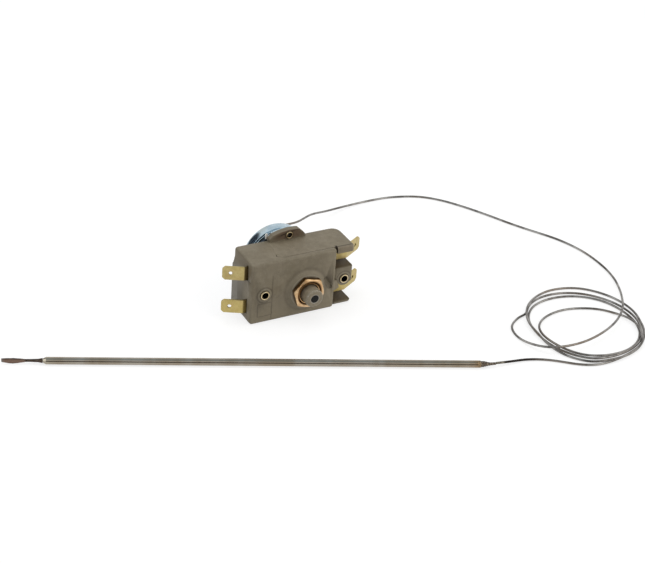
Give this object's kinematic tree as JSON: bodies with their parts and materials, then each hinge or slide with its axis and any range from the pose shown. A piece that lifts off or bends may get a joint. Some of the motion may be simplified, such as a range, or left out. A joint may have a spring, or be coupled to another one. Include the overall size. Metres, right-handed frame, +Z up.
{
  "type": "capillary temperature limiter",
  "caption": "Capillary temperature limiter: moulded switch block with blade terminals, manual reset button in a threaded bush, diaphragm cup, coiled capillary and rod bulb.",
  "frame": {"origin": "middle of the switch block's footprint, with its terminals, button and ferrule and without the capillary and the bulb, on the surface that the block stands on", "axes": "+X from the left terminals to the right ones, +Y from the reset button to the diaphragm cup, +Z up towards the riveted ear"},
  "size_m": [0.2738, 0.1602, 0.034],
  "materials": {
    "moulded_body": "grey-brown moulded thermoset, fine matt grain",
    "button_plastic": "satin moulded, same grey-brown as the housing",
    "dark_pin": "satin, near black",
    "brass": "turned, slightly tarnished in the recesses",
    "terminal_brass": "rolled and stamped, satin",
    "zinc_steel": "bright zinc plate with a blue tint",
    "spring_steel": "bright rolled",
    "spring_bronze": "rolled, satin",
    "contact_silver": "silver alloy, satin",
    "white_ceramic": "unglazed white ceramic",
    "capillary_metal": "drawn tube, dull silver-grey",
    "bulb_metal": "drawn and ground tube, grey with brown bands",
    "braze": "brazed and heat-darkened"
  },
  "bodies": {
    "housing": {"front_housing": "moulded_body", "rear_base": "moulded_body", "threaded_bush": "brass", "hex_nut": "brass", "button_spring": "spring_steel", "rivet_left": "brass", "rivet_right": "brass", "rivet_ear": "brass", "terminal_left_upper": "terminal_brass", "terminal_left_lower": "terminal_brass", "terminal_right_upper": "terminal_brass", "terminal_right_lower": "terminal_brass", "fixed_contact_upper": "contact_silver", "fixed_contact_lower": "contact_silver", "blade_rivet_upper": "brass", "blade_rivet_lower": "brass", "snap_spring": "spring_steel", "calibration_screw": "brass", "mount_frame": "zinc_steel", "diaphragm_cup": "zinc_steel", "diaphragm_capsule": "spring_steel", "capillary_ferrule": "braze", "capillary_lead": "capillary_metal", "capillary_coil": "capillary_metal", "capillary_tail": "capillary_metal", "sensor_bulb": "bulb_metal", "bulb_neck": "braze", "bulb_fill_tube": "braze"},
    "button": {"reset_button": "button_plastic", "reset_pin": "dark_pin"},
    "bridge": {"trip_bridge": "white_ceramic", "transmission_pin": "white_ceramic"},
    "contacts": {"contact_blade_upper": "spring_bronze", "contact_blade_lower": "spring_bronze", "moving_contact_upper": "contact_silver", "moving_contact_lower": "contact_silver"}
  },
  "joints": [
    {"name": "reset_press", "type": "slide", "parent": "housing", "child": "button", "axis": [0, 1, 0], "range_m": [0, 0.0025], "stiffness_N_per_m": 100, "deforming": ["button_spring"]},
    {"name": "trip_slide", "type": "slide", "parent": "housing", "child": "bridge", "axis": [0, -1, 0], "range_m": [0, 0.001]},
    {"name": "contact_swing", "type": "hinge", "parent": "housing", "child": "contacts", "pos_m": [-0.01509, -0.0066, 0.0144], "axis": [0, 0, -1], "range_deg": [0, 3.7]}
  ],
  "couplings": [
    {"joint": "contact_swing", "follows": "trip_slide", "rad_per_m": 62.11}
  ]
}
